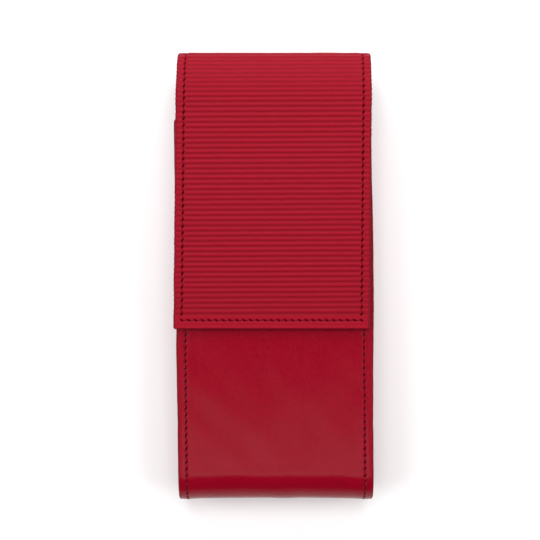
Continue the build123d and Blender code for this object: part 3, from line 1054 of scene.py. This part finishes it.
def outline(front_start, back_start, inset, count=110, arc=14):
    """Matching points down the front and up the back of the pouch's side, and the end's middle point.
    Returns (y, z, inward y, inward z) for each."""
    share = np.linspace(0, 1, count)
    radius = END_RADIUS - LEATHER - inset
    front_y = front_start + (end_y - front_start) * share
    back_y = back_start + (end_y - back_start) * share
    zero, one = 0 * share, 0 * share + 1
    front = np.stack([front_y, zero + END_RADIUS + radius, zero, -one], -1)
    back = np.stack([back_y, back_line(back_y) + inset, zero, one], -1)
    turn = np.radians(np.linspace(0, 90, arc + 1)[1:-1])
    y, rise_z = end_y - radius * np.sin(turn), radius * np.cos(turn)
    front_arc = np.stack([y, END_RADIUS + rise_z, np.sin(turn), -np.cos(turn)], -1)
    back_arc = np.stack([y, END_RADIUS - rise_z, np.sin(turn), np.cos(turn)], -1)
    pole = np.array([[end_y - radius, END_RADIUS, 1.0, 0.0]])
    return np.concatenate([front, front_arc]), np.concatenate([back, back_arc]), pole


def grid_faces(grid):
    """The faces of a grid of point numbers."""
    return list(np.stack([grid[:-1, :-1], grid[1:, :-1], grid[1:, 1:], grid[:-1, 1:]], -1).reshape(-1, 4))


def normals(points, faces):
    """The direction each point of a surface faces."""
    total = np.zeros_like(points)
    for face in faces:
        spokes = points[face[1:]] - points[face[0]]
        total[face] += np.cross(spokes[:-1], spokes[1:]).sum(axis=0)
    return total / np.maximum(np.linalg.norm(total, axis=1, keepdims=True), 1e-9)


def side_panel(name, side, starts, inset, profile, thickness, finish, across=14):
    """A pouch side: a profile of (distance in, x) swept round the outline, and a wall across inside it.
    The hidden layer lies a thickness behind the shown one."""
    front, back, pole = outline(*starts, inset)
    pairs, steps = len(front), len(profile)
    loop = np.concatenate([front, pole, back[::-1]])
    into, x = profile[:, 0], profile[:, 1]
    y = loop[:, :1] + loop[:, 2:3] * into
    z = loop[:, 1:2] + loop[:, 3:4] * into
    rim_points = np.stack([np.broadcast_to(x, y.shape), y, z], -1).reshape(-1, 3)
    rim = np.arange(len(rim_points)).reshape(len(loop), steps)
    share = np.linspace(0, 1, across + 1)[1:-1, None]
    front_edge, back_edge = rim_points[rim[:pairs, -1]], rim_points[rim[::-1][:pairs, -1]]
    inside = front_edge[:, None] + (back_edge - front_edge)[:, None] * share
    inside[..., 0] += wall_bulge(inside[..., 1], share[:, 0])
    middle = len(rim_points) + np.arange(pairs * len(share)).reshape(pairs, -1)
    wall = np.concatenate([rim[:pairs, -1:], middle, rim[::-1][:pairs, -1:]], 1)
    faces = grid_faces(rim) + [face[[0, 3, 2, 1]] for face in grid_faces(wall)]
    faces += [np.array([a, b, rim[pairs, -1]]) for a, b in zip(wall[-1][:-1], wall[-1][1:])]
    shown = np.concatenate([rim_points, inside.reshape(-1, 3)])
    ways = normals(shown, faces)
    turned = ways[:, 0].sum() < 0
    if turned:
        ways = -ways
    hidden = shown - ways * thickness
    for points in (shown, hidden):
        points[:, 0] = points[:, 0] * side + lean(points[:, 1])
    if turned != (side < 0):
        faces = [face[::-1] for face in faces]
    return thickened(name, shown, hidden, faces, finish)


WALL_BEND = 1.1
FLANGE_INSET = 2.0  # from the case's side to where the flange turns in to the wall
corner_turn = np.radians(np.linspace(0, 90, 6))
flange_in = GUSSET_LEATHER + 0.02
bend_in = flange_in + WALL_BEND * (1 - np.cos(corner_turn))
bend_x = gusset_wall + WALL_BEND * (1 - np.sin(corner_turn))
flange = [[flange_in, half_width - LIP - 0.04], [flange_in, half_width - FLANGE_INSET]]
tray_profile = np.concatenate([flange, np.stack([bend_in, bend_x], -1)])
panel_profile = np.array([[0.05, panel_face - 0.10], [0.20, panel_face - 0.03], [0.5, panel_face - 0.01]])


for side, name in ((-1, "left"), (1, "right")):
    starts = (pouch_start, gusset_top - 0.1)
    tray = side_panel(
        f"{name}_gusset_leather", side, starts, 0.0, tray_profile, GUSSET_LEATHER - 0.02, gusset_red
    )
    on_case(tray, f"{name}_gusset")
    starts, inset = (pouch_start - 0.25, gusset_top - 1.2), GUSSET_LEATHER + 0.3
    panel = side_panel(
        f"{name}_gusset_lining_cloth", side, starts, inset, panel_profile, POUCH_LINING - 0.05, lining_cloth
    )
    on_case(panel, f"{name}_gusset_lining")

# Dividers: a soft partition with a tab glued to the front lining and one to the back lining.
TAB, TAB_END, TAB_FILLET = 0.6, 0.35, 0.5  # thickness, reach in the round end, and inner corner
DIVIDER_FOOT = 8.1  # how far it goes into the pouch's round end
inside_radius = pouch_radius - POUCH_LINING
wall_near, wall_far = divider_low[0], divider_low[0] + LEATHER
tab_reach = divider_high[0] - wall_far
divider_waves = Waves(10, (15, 60), (10, 30), 0.22)
divider_rim = divider_high[1] - TAB  # its top edge is rounded from here
divider_stations = np.concatenate(
    [
        np.linspace(end_y - DIVIDER_FOOT, end_y, 12)[:-1],
        np.linspace(end_y, divider_rim, 50),
        divider_rim + TAB * np.sin(np.radians([18, 36, 54, 72, 90])),
    ]
)
fillet_turn = np.radians([0, 30, 60, 90])
WALL_POINTS = 10
# How far each point of a section is drawn in at the rounded edge: across the wall, and along the tabs.
pull = np.repeat([0, 0.5, 1, 0.5, 0], [2, 4, WALL_POINTS, 4, 2])
lift = np.repeat([1, 0.5, 0, -0.5, -1], [2, 4, WALL_POINTS, 4, 2])


def divider_section(y):
    """The (x, z) points of a divider's two faces at one place along it."""
    reach = math.sqrt(max(inside_radius**2 - min(0, y - end_y) ** 2, 0)) - 0.03
    middle = (pouch_front + pouch_back) / 2
    low, high = middle - reach, middle + reach
    tab = TAB_END + (tab_reach - TAB_END) * float(rise(end_y - 1, end_y + 2, y))
    thin = 1 - math.sqrt(max(0, 1 - (max(0, y - divider_rim) / TAB) ** 2))
    fillet_x = wall_far + TAB_FILLET * (1 - np.sin(fillet_turn))
    fillet_z = TAB + TAB_FILLET * (1 - np.cos(fillet_turn))
    near_x = np.concatenate([[wall_far + tab, wall_far + TAB_FILLET + (tab - TAB_END) / 2], fillet_x])
    near_z = np.concatenate([[TAB, TAB], fillet_z])
    far_x = np.concatenate([near_x[:2], wall_near + np.array([0.5, 0.2, 0.05, 0])])
    far_z = np.array([0, 0, 0, 0.05, 0.3, 0.9])
    wall_z = np.linspace(low + TAB + TAB_FILLET, high - TAB - TAB_FILLET, WALL_POINTS + 2)[1:-1]
    share = (wall_z - low) / (high - low)
    sway = np.sin(np.pi * share) * divider_waves(y + 0 * share, 20 * share)
    sway = sway * float(rise(end_y - 6, end_y + 10, y))
    faces = []
    for tabs_x, tabs_z, wall_x, way in ((near_x, near_z, wall_far, -1), (far_x, far_z, wall_near, 1)):
        x = np.concatenate([tabs_x, wall_x + sway, tabs_x[::-1]])
        z = np.concatenate([low + tabs_z, wall_z, (high - tabs_z)[::-1]])
        faces.append((x + way * LEATHER * thin / 2 * 0.98 * pull, z + way * TAB * thin / 2 * lift))
    return faces


for side, name in ((-1, "left"), (1, "right")):
    layers = ([], [])
    for y in divider_stations:
        for layer, (x, z) in zip(layers, divider_section(y)):
            layer.append(np.stack([side * x + lean(y), y + 0 * x, z], -1))
    shown, hidden = (np.concatenate(layer) for layer in layers)
    grid = np.arange(len(shown)).reshape(len(divider_stations), -1)
    divider = thickened(f"{name}_divider_suede", shown, hidden, grid_faces(grid), divider_suede)
    on_case(divider, f"{name}_divider")

# ---- the boards and discs keep their CAD shapes, with new finishes and softened edges

SOFT_EDGE = 0.08
for finish, nodes in (
    (board_grey, ("front_board", "back_board", "flap_board")),
    (nickel, ("left_magnet", "right_magnet")),
    (steel, ("left_keeper", "right_keeper")),
):
    for node in nodes:
        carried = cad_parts[node]
        carried.data.materials.clear()
        carried.data.materials.append(finish)
        softened = carried.modifiers.new("soft_edges", "BEVEL")
        softened.width = SOFT_EDGE * MM
        softened.segments = 2
        softened.limit_method = "ANGLE"

# ---- floor, light and camera

FLOOR_REACH = 60.0
FLOOR_DROP = 0.4  # under the lowest stitch of the back
corners = [(x * FLOOR_REACH, y * FLOOR_REACH, 0) for x, y in ((-1, -1), (1, -1), (1, 1), (-1, 1))]
floor_mesh = bpy.data.meshes.new("floor")
floor_mesh.from_pydata(corners, [], [(0, 1, 2, 3)])
floor = bpy.data.objects.new("floor", floor_mesh)
bpy.context.scene.collection.objects.link(floor)
floor.location.z = -FLOOR_DROP * MM
paper = bpy.data.materials.new("white_paper")
paper.use_nodes = True
paper_shader = paper.node_tree.nodes["Principled BSDF"]
paper_shader.inputs["Base Color"].default_value = (0.950, 0.933, 0.937, 1)
paper_shader.inputs["Roughness"].default_value = 0.95
paper_shader.inputs["Specular IOR Level"].default_value = 0.1
floor_mesh.materials.append(paper)


def soft_light(name, power, way, size, place=None):
    """A soft light shining against the way given: a box of some size, or an even sun of some angle."""
    data = bpy.data.lights.new(name, "AREA" if place else "SUN")
    data.energy = power
    if place:
        data.shape = "RECTANGLE"
        data.size, data.size_y = size
    else:
        data.angle = math.radians(size)
    light = bpy.data.objects.new(name, data)
    bpy.context.scene.collection.objects.link(light)
    light.location = place or (0, 0, 0)
    light.rotation_mode = "QUATERNION"
    light.rotation_quaternion = Vector(way).to_track_quat("Z", "Y")


# The two suns don't fall off across the floor. The screens hang level.
LEVEL = (0, 0, 1)
soft_light("left_sun", 1.44, (-0.74, 0.05, 0.62), 44)
soft_light("right_sun", 1.30, (0.74, 0.05, 0.62), 44)
soft_light("top_box", 1.35, (0.0, 0.36, 0.25), (0.6, 0.24), (0.0, 0.36, 0.27))
soft_light("left_screen", 0.66, LEVEL, (0.45, 0.9), (-0.34, 0.0, 0.90))
soft_light("right_screen", 0.46, LEVEL, (0.45, 0.9), (0.36, 0.0, 0.90))
soft_light("top_screen", 2.8, LEVEL, (0.6, 0.4), (0.0, 0.38, 0.92))
soft_light("low_screen", 0.95, LEVEL, (0.5, 0.29), (0.0, -0.32, 0.92))

# The room is pale near the horizon and dim overhead, where the camera's opening is.
world = bpy.data.worlds.new("studio")
bpy.context.scene.world = world
world.use_nodes = True
sky_nodes, sky_links = world.node_tree.nodes, world.node_tree.links
sky_way = sky_nodes.new("ShaderNodeTexCoord")
sky_split = sky_nodes.new("ShaderNodeSeparateXYZ")
sky_level = sky_nodes.new("ShaderNodeMapRange")
sky_level.interpolation_type = "SMOOTHSTEP"
for socket, number in (("From Min", 0.06), ("From Max", 0.30), ("To Min", 0.90), ("To Max", 0.12)):
    sky_level.inputs[socket].default_value = number
background = sky_nodes["Background"]
background.inputs["Color"].default_value = (1, 1, 1, 1)
sky_links.new(sky_way.outputs["Generated"], sky_split.inputs["Vector"])
sky_links.new(sky_split.outputs["Z"], sky_level.inputs["Value"])
sky_links.new(sky_level.outputs["Result"], background.inputs["Strength"])

# The camera looks straight down at the flap from a little over 0.4 m.
camera_data = bpy.data.cameras.new("camera")
camera_data.lens = 76.33
camera_data.sensor_width = 36.0
camera_data.clip_start = 0.01
camera = bpy.data.objects.new("camera", camera_data)
bpy.context.scene.collection.objects.link(camera)
camera.location = (-1.77 * MM, 2.1 * MM, 446 * MM)
bpy.context.scene.camera = camera

bpy.context.scene.view_settings.view_transform = "Standard"
bpy.context.scene.view_settings.look = "None"
